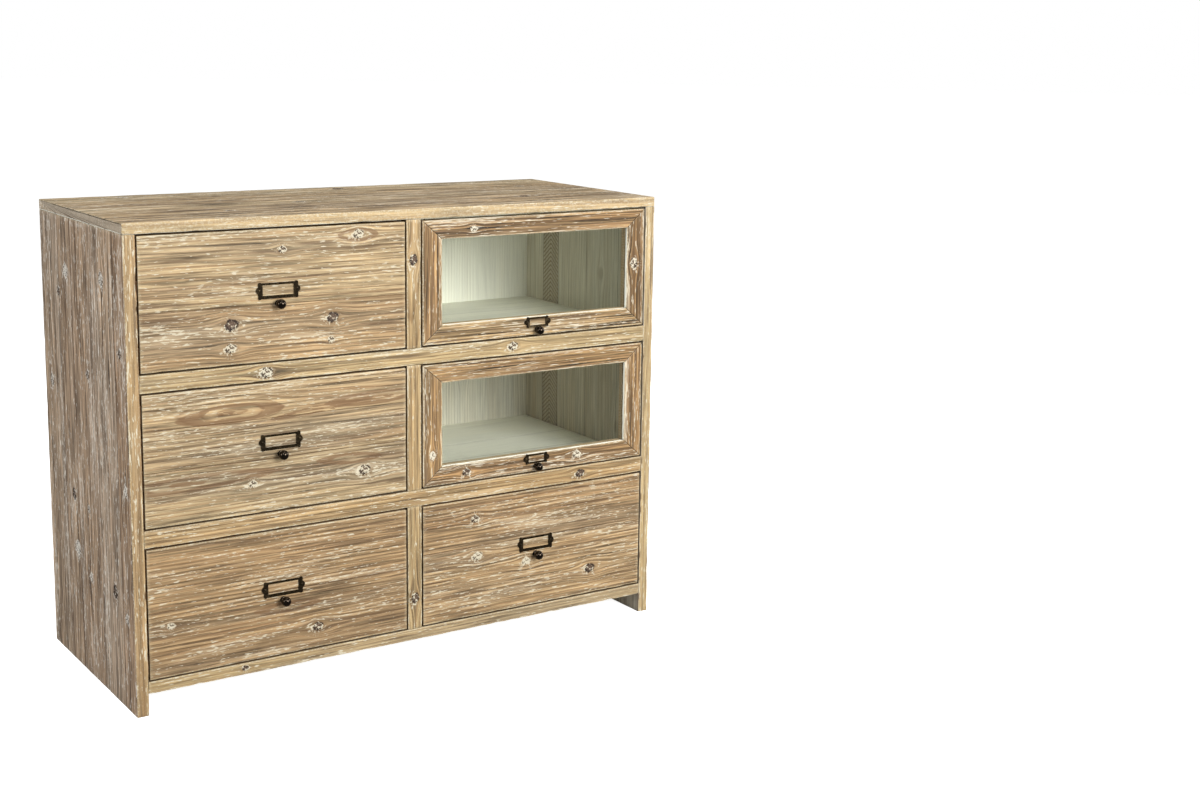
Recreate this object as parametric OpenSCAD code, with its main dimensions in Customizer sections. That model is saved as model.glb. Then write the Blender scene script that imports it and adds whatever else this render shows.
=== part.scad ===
// Apothecary chest: a pine case with four drawers and two glazed lift-up flaps.
// The frame has X to the right along the front, Y to the back and Z up, with the
// floor at z = 0 and the origin under the middle of the overall box.

/* [Case] */
// Overall width of the case
case_w = 1100; // [900:10:1400]
// Overall depth of the case, without the knobs
case_d = 475; // [400:5:600]
// Thickness of the side panels, whose front edges frame the fronts
side_t = 22; // [18:1:32]
// Thickness of the top, which lies over both sides
top_t = 20; // [16:1:32]
// Thickness of the bottom board, whose front edge is the bottom rail
bottom_t = 22; // [16:1:32]
// How far the sides run on below the bottom board as legs
leg_h = 40; // [20:5:90]

/* [Front frame] */
// Height of each opening, in all three rows
opening_h = 243; // [200:1:300]
// Height of the two rails between the rows
rail_h = 32; // [26:1:50]
// Width of the stile between the columns
stile_w = 30; // [28:1:60]
// Depth of the rails and the stile, front to back
frame_t = 22; // [18:1:40]

/* [Inside the case] */
// Thickness of the partition behind the stile
partition_t = 22; // [16:1:26]
// Thickness of the two shelves that floor the glazed compartments
shelf_t = 18; // [12:1:24]
// Thickness of the back boards
back_t = 12; // [8:1:18]
// Distance from the back boards to the rear edge of the case
back_inset = 6; // [2:1:20]
// Depth of the groove in each side that holds the back boards
back_groove = 8; // [4:1:12]
// Number of back boards
back_count = 4; // [3:1:12]
// Gap between neighbouring back boards
board_gap = 0.4; // [0.2:0.1:2]
// Chamfer along the edges of the back boards
board_chamfer = 1.5; // [0.5:0.5:3]
// Width of a drawer runner
runner_w = 30; // [20:1:60]
// Height of a drawer runner
runner_h = 20; // [12:1:26]
// Height of the strips that guide a drawer beside the partition
guide_h = 18; // [8:1:40]
// Height of the strips that the closed flaps rest against
stop_h = 12; // [6:1:24]
// Thickness of the same strips, front to back
stop_t = 10; // [6:1:20]

/* [Drawers] */
// Gap all round the drawer fronts and flaps
front_gap = 3; // [1:0.5:4]
// Thickness of a drawer front
front_t = 22; // [18:1:30]
// Thickness of a drawer side
drawer_side_t = 12; // [9:1:16]
// Thickness of a drawer back
drawer_back_t = 12; // [9:1:16]
// Thickness of a drawer bottom
drawer_bottom_t = 6; // [4:0.5:8]
// Drop from the top of a drawer front to the top of its sides
side_drop = 8; // [4:1:60]
// Height of a drawer bottom above the lower edge of the sides
bottom_rise = 9; // [5:1:20]
// Depth of the grooves that hold a drawer bottom
groove_d = 6; // [4:0.5:7]
// Depth of the housings that hold a drawer back
housing_d = 5; // [3:0.5:7]
// Distance from a drawer back to the rear ends of the sides
back_setback = 10; // [4:1:30]
// Gap under the drawer sides, behind their rear ends and behind the flaps
run_gap = 0.3; // [0.1:0.1:0.8]

/* [Dovetails] */
// Number of tails on the front end of a drawer side
tail_count = 4; // [3:1:6]
// Wood left in the drawer front ahead of the tails
tail_lap = 6; // [4:0.5:10]
// Root height of a tail as a share of the pitch
tail_share = 0.54; // [0.4:0.02:0.6]
// Slope of a tail, as the run for one unit of rise
tail_slope = 6; // [5:1:9]
// Clearance in the dovetails and in the other loose joints
joint_gap = 0.15; // [0.05:0.05:0.3]

/* [Glazed flaps] */
// Thickness of a flap's frame
flap_t = 20; // [18:1:24]
// Width of the flap's upright members
flap_stile_w = 42; // [34:1:60]
// Width of the flap's level members
flap_rail_w = 37; // [34:1:60]
// Thickness of the glass
glass_t = 3; // [2:0.5:5]
// Thickness of the lip in front of the glass
glass_lip = 7; // [4:1:9]
// Width of the rebate that holds the glass and its beads
glass_lap = 7; // [4:1:9]
// Diameter of the pivot pins
pivot_d = 6; // [4:0.5:7]
// Distance from the front face to the pivot axis
pivot_setback = 11; // [9:0.5:12]
// Distance from the flap's top edge down to the pivot axis
pivot_drop = 35; // [32:1:60]
// Length of each pin inside the case
pin_in_case = 12; // [8:1:14]
// Length of each pin inside the flap
pin_in_flap = 16; // [10:1:24]
// Radial clearance of a pin in its bore
pin_clear = 0.05; // [0.02:0.01:0.1]

/* [Knobs] */
// Ball diameter of a drawer knob
knob_d = 18; // [14:1:26]
// Reach of a drawer knob from the drawer front
knob_reach = 22.5; // [19:0.5:32]
// Ball diameter of a flap knob
flap_knob_d = 17; // [10:1:19]
// Reach of a flap knob from the flap
flap_knob_reach = 19; // [16:0.5:28]
// Diameter of the shank that holds a knob
shank_d = 5; // [3:0.5:6]
// Length of the same shank inside the wood
shank_len = 14; // [8:1:16]
// Diameter of the rose at a knob's foot, as a share of the ball
rose_share = 0.72; // [0.6:0.02:0.8]
// Thickness of the rose
rose_t = 1.6; // [1:0.2:2.4]
// Diameter of a knob's neck, as a share of the ball
neck_share = 0.4; // [0.34:0.02:0.5]
// Gap between a drawer's label holder and the rose of the knob below it
knob_gap = 3; // [1:0.5:16]
// The same gap on a flap
flap_knob_gap = 0.5; // [0.2:0.1:4]

/* [Label holders] */
// Width of the window in a drawer's label holder
window_w = 60; // [40:1:80]
// Height of the window in a drawer's label holder
window_h = 19; // [12:1:22]
// Width of the window in a flap's label holder
flap_window_w = 37; // [24:1:50]
// Height of the window in a flap's label holder
flap_window_h = 12.5; // [10:0.5:14]
// Width of the bar above a drawer's window
bar_w = 3.7; // [2.4:0.1:4.4]
// Width of the sill below a drawer's window
sill_w = 5.6; // [3:0.1:6]
// Width of the bar above a flap's window
flap_bar_w = 3; // [2:0.1:3.4]
// Width of the sill below a flap's window
flap_sill_w = 3.6; // [2:0.1:4]
// Width of the cheeks beside a drawer's window
cheek_w = 7.8; // [6:0.1:10]
// Width of the cheeks beside a flap's window
flap_cheek_w = 5.8; // [5:0.1:8]
// Radius of the screw lobes on a drawer's label holder
lobe_r = 6.2; // [5:0.1:8]
// Radius of the screw lobes on a flap's label holder
flap_lobe_r = 5.4; // [4:0.1:6]
// Radius of the round ears at the corners of a drawer's label holder
ear_r = 2.8; // [2:0.1:3.4]
// Radius of the same ears on a flap's label holder
flap_ear_r = 2.3; // [1.6:0.1:2.8]
// How far the ears stand above the bar and below the sill
ear_out = 1.2; // [0.6:0.1:1.6]
// Distance from a window's side to its screws
screw_out = 5.8; // [5:0.1:7]
// Thickness of a label holder
holder_t = 2.6; // [2:0.1:4]
// Depth of the slot for the card
card_slot = 1.2; // [0.8:0.1:1.6]
// Height of a drawer's label holder above the middle of its opening
holder_rise = 10; // [0:1:40]
// Diameter of a screw's head
screw_head_d = 5; // [4:0.5:6]
// Height of the same head
screw_head_h = 1.25; // [0.8:0.05:1.6]
// Diameter of a screw's shank
screw_d = 2.4; // [1.6:0.2:3]
// Length of a screw inside the wood
screw_len = 10; // [6:1:14]

/* [Hidden] */
DRAWERS = ["top_left", "middle_left", "bottom_left", "bottom_right"];
FLAPS = ["upper", "lower"];
DRAWER_PIECES = ["front", "side_left", "side_right", "back", "bottom", "label_holder", "knob"];
FLAP_PIECES = ["rail_top", "rail_bottom", "stile_left", "stile_right", "glass", "beads",
               "pivots", "label_holder", "knob"];
CASE_PIECES = ["side_left", "side_right", "top_board", "bottom_board", "back_boards",
               "rail_upper", "rail_lower", "centre_stiles", "centre_partition",
               "shelf_upper", "shelf_lower", "drawer_runners", "floor_guides", "flap_stops"];

$fn = 48;
over = 1; // how far a cutting shape runs past the face that it opens

case_h = leg_h + bottom_t + 3 * opening_h + 2 * rail_h + top_t;
under_top = case_h - top_t;
opening_w = (case_w - 2 * side_t - stile_w) / 2;
stile_x = side_t + opening_w;
right_x = stile_x + stile_w;
back_y = case_d - back_inset - back_t;
partition_x = stile_x + (stile_w - partition_t) / 2;
guide_t = (stile_w - partition_t) / 2;
front_y = (max(knob_reach, flap_knob_reach) - case_d) / 2;

row_pitch = opening_h + rail_h;
function row_z(row) = leg_h + bottom_t + row * row_pitch; // row 0 is the bottom row
function drawer_at(d) = d == 0 ? [side_t, row_z(2)] : d == 1 ? [side_t, row_z(1)]
                      : d == 2 ? [side_t, row_z(0)] : [right_x, row_z(0)];
function flap_at(f) = [right_x, row_z(2 - f)];

front_w = opening_w - 2 * front_gap;
front_h = opening_h - 2 * front_gap;
box_top = opening_h - front_gap - side_drop;
box_h = box_top - run_gap;
tray_z = run_gap + bottom_rise;
drawer_len = back_y - run_gap;
drawer_back_y = drawer_len - back_setback - drawer_back_t;
tail_pitch = box_h / tail_count;
tail_root = tail_share * tail_pitch / 2;
holder_z = opening_h / 2 + holder_rise;
knob_z = holder_z - window_h / 2 - sill_w - knob_gap - rose_share * knob_d / 2;

aperture_w = front_w - 2 * flap_stile_w;
aperture_h = front_h - 2 * flap_rail_w;
pivot_z = opening_h - front_gap - pivot_drop;
flap_holder_z = front_gap + flap_rail_w - ear_out - flap_bar_w - flap_window_h / 2;
flap_knob_z = flap_holder_z - flap_window_h / 2 - flap_sill_w - flap_knob_gap
              - rose_share * flap_knob_d / 2;
holder = [window_w, window_h, bar_w, sill_w, cheek_w, lobe_r, ear_r];
flap_holder = [flap_window_w, flap_window_h, flap_bar_w, flap_sill_w, flap_cheek_w,
               flap_lobe_r, flap_ear_r];

// The corners of a flap's frame, from the lower left one round, outside and inside
outer = [[front_gap, front_gap], [front_gap + front_w, front_gap],
         [front_gap + front_w, front_gap + front_h], [front_gap, front_gap + front_h]];
inner = [for (i = [0 : 3]) outer[i] + [(i == 0 || i == 3 ? 1 : -1) * flap_stile_w,
                                       (i < 2 ? 1 : -1) * flap_rail_w]];
function mitred(i) = [outer[i], outer[(i + 1) % 4], inner[(i + 1) % 4], inner[i]];

pine = "#b99c76";
pine_edge = "#c9ac84";
pine_box = "#cdb48c";
painted = "#b9b9a6";
bronze = "#2b211b";
steel = "#8c8c88";
pane = [0.75, 0.82, 0.8, 0.35];

// Case coordinates start at the lower front left corner of the case, on the floor
module in_case() translate([-case_w / 2, front_y, 0]) children();
module in_opening(at) in_case() translate([at[0], 0, at[1]]) children();

// A drilled or turned shape along X, Y forwards or Z
module along_x() rotate([0, 90, 0]) children();
module to_front() rotate([90, 0, 0]) children();
module to_back() rotate([-90, 0, 0]) children();

// Case

module side_panel(inner_x) {
  groove_x = inner_x > 0 ? side_t - back_groove : -over;
  difference() {
    cube([side_t, case_d, under_top]);
    translate([groove_x, back_y, leg_h]) cube([back_groove + over, back_t, under_top]);
  }
}

module side_left() color(pine) in_case() side_panel(side_t);

module side_right() color(pine) in_case() difference() {
  translate([case_w - side_t, 0, 0]) side_panel(0);
  for (f = [0, 1])
    translate([case_w - side_t - over, pivot_setback, flap_at(f)[1] + pivot_z])
      along_x() cylinder(d = pivot_d + 2 * pin_clear, h = pin_in_case + over);
}

module top_board() color(pine) in_case() translate([0, 0, under_top])
  cube([case_w, case_d, top_t]);

module bottom_board() color(pine_edge) in_case() translate([side_t, 0, leg_h])
  cube([case_w - 2 * side_t, back_y, bottom_t]);

module back_boards() {
  span = case_w - 2 * side_t + 2 * back_groove;
  board_w = (span - (back_count - 1) * board_gap) / back_count;
  c = board_chamfer;
  color(painted) in_case() for (i = [0 : back_count - 1])
    translate([side_t - back_groove + i * (board_w + board_gap), back_y, leg_h])
      linear_extrude(under_top - leg_h)
        polygon([[c, 0], [board_w - c, 0], [board_w, c], [board_w, back_t - c],
                 [board_w - c, back_t], [c, back_t], [0, back_t - c], [0, c]]);
}

module rail(row) color(pine_edge) in_case() translate([side_t, 0, row_z(row) - rail_h])
  cube([case_w - 2 * side_t, frame_t, rail_h]);

module rail_upper() rail(2);
module rail_lower() rail(1);

// One length of stile stands in each row, and the upper two take the flaps' pins
module centre_stiles() color(pine_edge) in_case() difference() {
  for (row = [0 : 2]) translate([stile_x, 0, row_z(row)]) cube([stile_w, frame_t, opening_h]);
  for (f = [0, 1])
    translate([right_x - pin_in_case, pivot_setback, flap_at(f)[1] + pivot_z])
      along_x() cylinder(d = pivot_d + 2 * pin_clear, h = pin_in_case + over);
}

module centre_partition() color(painted) in_case()
  translate([partition_x, frame_t, leg_h + bottom_t])
    cube([partition_t, back_y - frame_t, under_top - leg_h - bottom_t]);

module shelf(row) color(painted) in_case()
  translate([partition_x + partition_t, frame_t, row_z(row) - shelf_t])
    cube([case_w - side_t - partition_x - partition_t, back_y - frame_t, shelf_t]);

module shelf_upper() shelf(2);
module shelf_lower() shelf(1);

// The runner on the side is plain, and the one on the partition has a guide on it
module drawer_runners() {
  run = back_y - frame_t;
  color(pine_box) in_case() for (row = [1, 2]) {
    translate([side_t, frame_t, row_z(row) - runner_h]) cube([runner_w, run, runner_h]);
    translate([partition_x, frame_t + run, row_z(row)]) to_front() linear_extrude(run)
      polygon([[-runner_w, -runner_h], [0, -runner_h], [0, guide_h], [-guide_t, guide_h],
               [-guide_t, 0], [-runner_w, 0]]);
  }
}

module floor_guides() color(pine_box) in_case()
  for (x = [stile_x, partition_x + partition_t])
    translate([x, frame_t, leg_h + bottom_t]) cube([guide_t, back_y - frame_t, guide_h]);

module flap_stops() color(painted) in_case()
  for (row = [1, 2])
    translate([right_x, flap_t + run_gap, row_z(row)]) cube([opening_w, stop_t, stop_h]);

// Drawers, each in the coordinates of its opening

// The outline of one tail from the side, which spreads towards its end
module tail(gap) {
  reach = front_t - tail_lap - gap;
  half = tail_root - gap;
  polygon([[0, -half], [0, half], [-reach, half + reach / tail_slope],
           [-reach, -half - reach / tail_slope]]);
}

// All tails of one drawer side, as a slab that starts at the given x
module tails(x, thick, gap) for (i = [0 : tail_count - 1])
  translate([x, front_t, run_gap + (i + 0.5) * tail_pitch])
    rotate([90, 0, 90]) linear_extrude(thick) tail(gap);

module drawer_front() color(pine) difference() {
  translate([front_gap, 0, front_gap]) cube([front_w, front_t, front_h]);
  tails(front_gap - over, drawer_side_t + over, 0);
  tails(front_gap + front_w - drawer_side_t, drawer_side_t + over, 0);
  translate([front_gap + drawer_side_t - groove_d, front_t - groove_d, tray_z])
    cube([front_w - 2 * drawer_side_t + 2 * groove_d, groove_d + over, drawer_bottom_t + joint_gap]);
  translate([opening_w / 2, 0, knob_z]) shank_hole();
  translate([opening_w / 2, 0, holder_z]) screw_holes(holder);
}

module drawer_side_blank() difference() {
  union() {
    translate([front_gap, front_t, run_gap]) cube([drawer_side_t, drawer_len - front_t, box_h]);
    tails(front_gap, drawer_side_t, joint_gap);
  }
  translate([front_gap + drawer_side_t - groove_d, front_t - groove_d, tray_z])
    cube([groove_d + over, drawer_len, drawer_bottom_t + joint_gap]);
  translate([front_gap + drawer_side_t - housing_d, drawer_back_y, tray_z])
    cube([housing_d + over, drawer_back_t, opening_h]);
}

module drawer_side_left() color(pine_box) drawer_side_blank();
module drawer_side_right() color(pine_box)
  translate([opening_w, 0, 0]) mirror([1, 0, 0]) drawer_side_blank();

module drawer_back() color(pine_box)
  translate([front_gap + drawer_side_t - housing_d, drawer_back_y,
             tray_z + drawer_bottom_t + joint_gap])
    cube([front_w - 2 * drawer_side_t + 2 * housing_d, drawer_back_t,
          box_top - tray_z - drawer_bottom_t - joint_gap]);

module drawer_bottom() {
  inset = front_gap + drawer_side_t - groove_d + joint_gap;
  color(pine_box) translate([inset, front_t - groove_d + joint_gap, tray_z])
    cube([opening_w - 2 * inset, drawer_len - front_t + groove_d - joint_gap, drawer_bottom_t]);
}

module drawer_label_holder() translate([opening_w / 2, 0, holder_z]) label_holder(holder);

module drawer_knob() translate([opening_w / 2, 0, knob_z]) knob(knob_d, knob_reach);

// Fittings, with the wood's face at y = 0

module shank_hole() translate([0, -over, 0]) to_back()
  cylinder(d = shank_d + 2 * pin_clear, h = shank_len + over);

module at_screws(size) for (side = [-1, 1])
  translate([side * (size[0] / 2 + screw_out), 0, 0]) children();

module screw_holes(size) at_screws(size)
  translate([0, -over, 0]) to_back() cylinder(d = screw_d + 2 * pin_clear, h = screw_len + over);

// A rose against the wood, a short neck and a ball, turned in one piece with its shank
module knob(ball, reach) color(bronze) to_front() rotate_extrude() {
  translate([0, joint_gap - shank_len]) square([shank_d / 2, shank_len]);
  square([rose_share * ball / 2, rose_t]);
  square([neck_share * ball / 2, reach - ball / 2]);
  intersection() {
    translate([0, reach - ball / 2]) circle(d = ball);
    square([ball, reach]);
  }
}

// The outline of a label holder: a frame, a lobe for each screw and a round ear at each corner
module holder_outline(size) {
  half_w = size[0] / 2;
  top = size[1] / 2 + size[2];
  foot = -size[1] / 2 - size[3];
  cheek = size[4];
  ear = size[6];
  translate([-half_w - cheek / 2, foot]) square([2 * half_w + cheek, top - foot]);
  for (side = [-1, 1]) translate([side * half_w, 0]) scale([side, 1]) {
    translate([0, foot + ear]) square([cheek, top - foot - 2 * ear]);
    translate([screw_out, 0]) circle(r = size[5]);
    for (z = [foot - ear_out + ear, top + ear_out - ear])
      translate([cheek - ear, z]) circle(r = ear);
  }
}

// The frame stands off the wood, so that a card slides in behind it from above
module label_holder(size) {
  window = size[0];
  height = size[1];
  bar = size[2];
  rim = bar / 2;
  color(bronze) difference() {
    to_front() linear_extrude(holder_t) holder_outline(size);
    to_front() translate([0, 0, -over]) linear_extrude(holder_t + 2 * over)
      square([window, height], center = true);
    translate([-window / 2 - rim, -card_slot, -height / 2 - rim])
      cube([window + 2 * rim, card_slot + over, height + rim + bar + over]);
    at_screws(size) translate([0, -holder_t - over, 0]) to_back()
      cylinder(d = screw_d + 2 * pin_clear, h = holder_t + 2 * over);
  }
  color(steel) at_screws(size) screw();
}

// A round-headed screw through the holder, whose head is a cap of a ball
module screw() {
  ball_r = (pow(screw_head_d / 2, 2) + pow(screw_head_h, 2)) / (2 * screw_head_h);
  translate([0, -holder_t - pin_clear, 0]) to_front() rotate_extrude() {
    intersection() {
      translate([0, screw_head_h - ball_r]) circle(r = ball_r);
      square([screw_head_d, screw_head_h]);
    }
    translate([0, joint_gap - holder_t - screw_len])
      square([screw_d / 2, holder_t + screw_len - joint_gap]);
  }
}

// Glazed flaps, each in the coordinates of its opening

module flap_frame() difference() {
  translate([front_gap, 0, front_gap]) cube([front_w, flap_t, front_h]);
  translate([front_gap + flap_stile_w, -over, front_gap + flap_rail_w])
    cube([aperture_w, flap_t + 2 * over, aperture_h]);
  translate([front_gap + flap_stile_w - glass_lap, glass_lip, front_gap + flap_rail_w - glass_lap])
    cube([aperture_w + 2 * glass_lap, flap_t, aperture_h + 2 * glass_lap]);
}

// The part of the flap that a mitred member takes, from outer to inner corners
module flap_member(outline) color(pine) intersection() {
  flap_frame();
  translate([0, flap_t, 0]) to_front() linear_extrude(flap_t) polygon(outline);
}

module flap_rail_bottom() difference() {
  flap_member(mitred(0));
  translate([opening_w / 2, 0, flap_knob_z]) shank_hole();
  translate([opening_w / 2, 0, flap_holder_z]) screw_holes(flap_holder);
}

module flap_rail_top() flap_member(mitred(2));

module flap_stile_right() difference() {
  flap_member(mitred(1));
  translate([opening_w - front_gap - pin_in_flap, pivot_setback, pivot_z])
    along_x() cylinder(d = pivot_d + 2 * pin_clear, h = pin_in_flap + over);
}

module flap_stile_left() difference() {
  flap_member(mitred(3));
  translate([front_gap - over, pivot_setback, pivot_z])
    along_x() cylinder(d = pivot_d + 2 * pin_clear, h = pin_in_flap + over);
}

module flap_glass() {
  lap = glass_lap - joint_gap;
  color(pane) translate([front_gap + flap_stile_w - lap, glass_lip, front_gap + flap_rail_w - lap])
    cube([aperture_w + 2 * lap, glass_t, aperture_h + 2 * lap]);
}

// Four strips behind the glass: the level ones run through, the upright ones fit between
module flap_beads() {
  bead_y = glass_lip + glass_t;
  bead_t = flap_t - bead_y;
  x0 = front_gap + flap_stile_w - glass_lap;
  z0 = front_gap + flap_rail_w - glass_lap;
  color(painted) {
    for (z = [z0, z0 + aperture_h + glass_lap])
      translate([x0, bead_y, z]) cube([aperture_w + 2 * glass_lap, bead_t, glass_lap]);
    for (x = [x0, x0 + aperture_w + glass_lap])
      translate([x, bead_y, z0 + glass_lap + joint_gap])
        cube([glass_lap, bead_t, aperture_h - 2 * joint_gap]);
  }
}

module flap_pivots() color(steel)
  for (x = [joint_gap - pin_in_case, opening_w - front_gap - pin_in_flap + joint_gap])
    translate([x, pivot_setback, pivot_z])
      along_x() cylinder(d = pivot_d, h = pin_in_case + front_gap + pin_in_flap - 2 * joint_gap);

module flap_label_holder() translate([opening_w / 2, 0, flap_holder_z])
  label_holder(flap_holder);

module flap_knob() translate([opening_w / 2, 0, flap_knob_z]) knob(flap_knob_d, flap_knob_reach);

side_left();
side_right();
top_board();
bottom_board();
back_boards();
rail_upper();
rail_lower();
centre_stiles();
centre_partition();
shelf_upper();
shelf_lower();
drawer_runners();
floor_guides();
flap_stops();
for (d = [0 : len(DRAWERS) - 1]) {
  name = str("drawer_", DRAWERS[d], "_");
  in_opening(drawer_at(d)) drawer_front();
  in_opening(drawer_at(d)) drawer_side_left();
  in_opening(drawer_at(d)) drawer_side_right();
  in_opening(drawer_at(d)) drawer_back();
  in_opening(drawer_at(d)) drawer_bottom();
  in_opening(drawer_at(d)) drawer_label_holder();
  in_opening(drawer_at(d)) drawer_knob();
}
for (f = [0 : len(FLAPS) - 1]) {
  name = str("flap_", FLAPS[f], "_");
  in_opening(flap_at(f)) flap_rail_top();
  in_opening(flap_at(f)) flap_rail_bottom();
  in_opening(flap_at(f)) flap_stile_left();
  in_opening(flap_at(f)) flap_stile_right();
  in_opening(flap_at(f)) flap_glass();
  in_opening(flap_at(f)) flap_beads();
  in_opening(flap_at(f)) flap_pivots();
  in_opening(flap_at(f)) flap_label_holder();
  in_opening(flap_at(f)) flap_knob();
}
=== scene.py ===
import itertools
import math

import bmesh
import bpy
import numpy as np
from mathutils import Matrix, Vector


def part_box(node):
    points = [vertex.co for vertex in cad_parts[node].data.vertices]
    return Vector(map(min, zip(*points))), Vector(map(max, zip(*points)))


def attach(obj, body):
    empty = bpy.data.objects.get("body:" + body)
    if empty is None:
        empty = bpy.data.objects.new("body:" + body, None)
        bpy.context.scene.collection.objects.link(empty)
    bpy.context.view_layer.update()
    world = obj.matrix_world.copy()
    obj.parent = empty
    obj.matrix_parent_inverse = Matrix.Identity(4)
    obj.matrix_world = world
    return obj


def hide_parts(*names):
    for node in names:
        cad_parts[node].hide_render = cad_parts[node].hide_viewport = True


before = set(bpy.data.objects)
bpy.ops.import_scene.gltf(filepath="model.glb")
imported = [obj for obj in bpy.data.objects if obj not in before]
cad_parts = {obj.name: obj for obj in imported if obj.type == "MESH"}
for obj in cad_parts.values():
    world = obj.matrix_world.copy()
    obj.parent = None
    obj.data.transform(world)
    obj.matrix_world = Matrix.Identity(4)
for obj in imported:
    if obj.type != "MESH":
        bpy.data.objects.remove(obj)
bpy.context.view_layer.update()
print("frame loaded,", len(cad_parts), "nodes")

mm = 0.001
axisOf = {"x": Vector((1, 0, 0)), "y": Vector((0, 1, 0)), "z": Vector((0, 0, 1))}
drawers = ("top_left", "middle_left", "bottom_left", "bottom_right")
flaps = ("upper", "lower")


def addObject(name, data):
    made = bpy.data.objects.new(name, data)
    bpy.context.scene.collection.objects.link(made)
    return made


# Camera

camera = {
    "fromCorner": (-0.9385, -2.8175, 1.2001),  # from the case's lower front left corner
    "turn": -34.118, "tilt": -9.757, "roll": -0.84,
    "lens": 51.505, "sensor": 36, "shiftY": -0.06, "clip": (0.05, 200),
}


def placeCamera():
    data = bpy.data.cameras.new("camera")
    data.lens, data.sensor_width, data.shift_y = camera["lens"], camera["sensor"], camera["shiftY"]
    data.clip_start, data.clip_end = camera["clip"]
    turn, tilt, roll = (math.radians(camera[key]) for key in ("turn", "tilt", "roll"))
    level = Matrix.Rotation(math.radians(90), 4, "X")
    aim = Matrix.Rotation(turn, 4, "Z") @ Matrix.Rotation(tilt, 4, "X") @ Matrix.Rotation(roll, 4, "Y")
    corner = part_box("side_left")[0]
    eye = addObject("camera", data)
    eye.matrix_world = Matrix.Translation(corner + Vector(camera["fromCorner"])) @ aim @ level
    bpy.context.scene.camera = eye


placeCamera()
print("camera placed")


# Shader helpers: a wire is a socket that takes part in sums, and a recipe is one material

def setStops(ramp, stops):
    while len(ramp.elements) < len(stops):
        ramp.elements.new(0.5)
    for element, (place, level) in zip(ramp.elements, stops):
        element.position = place
        element.color = (level, level, level, 1)


def addNode(tree, kind, settings=None, sockets=None):
    made = tree.nodes.new(kind)
    for key, value in (settings or {}).items():
        if key == "stops":
            setStops(made.color_ramp, value)
        else:
            setattr(made, key, value)
    for key, value in (sockets or {}).items():
        if isinstance(value, bpy.types.NodeSocket):
            tree.links.new(value, made.inputs[key])
        else:
            made.inputs[key].default_value = value
    return made


class Wire:
    def __init__(self, recipe, socket):
        self.recipe, self.socket = recipe, socket

    def math(self, operation, first, second=0.0):
        return self.recipe.node("ShaderNodeMath", {"operation": operation}, {0: first, 1: second})

    def __add__(self, other):
        return self.math("ADD", self, other)

    def __radd__(self, other):
        return self.math("ADD", other, self)

    def __sub__(self, other):
        return self.math("SUBTRACT", self, other)

    def __rsub__(self, other):
        return self.math("SUBTRACT", other, self)

    def __mul__(self, other):
        return self.math("MULTIPLY", self, other)

    def __rmul__(self, other):
        return self.math("MULTIPLY", other, self)

    def __truediv__(self, other):
        return self.math("DIVIDE", self, other)

    def __abs__(self):
        return self.math("ABSOLUTE", self)

    def __pow__(self, other):
        return self.math("POWER", self, other)

    def fract(self):
        return self.math("FRACT", self)

    def top(self, other):
        return self.math("MAXIMUM", self, other)

    def ease(self, low, high):  # 0 at low and 1 at high, with soft ends
        return self.recipe.node("ShaderNodeMapRange", {"interpolation_type": "SMOOTHSTEP"},
                                {0: self, 1: low, 2: high, 3: 0.0, 4: 1.0})


class Recipe:
    def __init__(self, name):
        self.material = bpy.data.materials.new(name)
        self.material.use_nodes = True
        self.tree = self.material.node_tree
        self.tree.nodes.clear()

    def node(self, kind, settings=None, sockets=None, output=0):
        sockets = {key: getattr(value, "socket", value) for key, value in (sockets or {}).items()}
        made = addNode(self.tree, kind, settings, sockets)
        return Wire(self, made.outputs[output]) if made.outputs else made

    def ramp(self, value, stops):
        return self.node("ShaderNodeValToRGB", {"stops": stops}, {0: value})

    def mark(self, name, output="Fac"):  # an attribute stored on the mesh
        return self.node("ShaderNodeAttribute", {"attribute_name": name}, output=output)

    def parts(self, vector):
        split = self.node("ShaderNodeSeparateXYZ", None, {0: vector}).socket.node
        return [Wire(self, socket) for socket in split.outputs]

    def joined(self, *parts):
        return self.node("ShaderNodeCombineXYZ", None, dict(enumerate(parts)))

    def stretched(self, vector, scale):
        return self.node("ShaderNodeVectorMath", {"operation": "MULTIPLY"}, {0: vector, 1: scale})

    def noise(self, vector, scale, detail=2.0, rough=0.5):
        return self.node("ShaderNodeTexNoise", None,
                         {"Vector": self.stretched(vector, scale), "Scale": 1.0,
                          "Detail": detail, "Roughness": rough})

    def blend(self, factor, first, second, way="MIX"):
        return self.node("ShaderNodeMix", {"data_type": "RGBA", "blend_type": way, "clamp_factor": True},
                         {0: factor, 6: opaque(first), 7: opaque(second)}, output=2)

    def brighter(self, colour, factor):
        return self.node("ShaderNodeVectorMath", {"operation": "SCALE"}, {0: colour, "Scale": factor})

    def bump(self, height, strength, distance):
        return self.node("ShaderNodeBump", None,
                         {"Height": height, "Strength": strength, "Distance": distance})

    def principled(self, sockets):
        sockets = {key: opaque(value) for key, value in sockets.items()}
        surface = self.node("ShaderNodeBsdfPrincipled", None, sockets)
        self.node("ShaderNodeOutputMaterial", None, {"Surface": surface})
        return self.material


def opaque(colour):
    return (*colour, 1.0) if isinstance(colour, tuple) and len(colour) == 3 else colour


# Wood. Its marks are grain (along, across, depth), rings, knot, fill, swirl, tone, wear and seam. Wear
# lightens worn edges and also paints the highlight along the rounded edges; seam darkens joints and also
# paints the shade inside the gaps between parts

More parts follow.
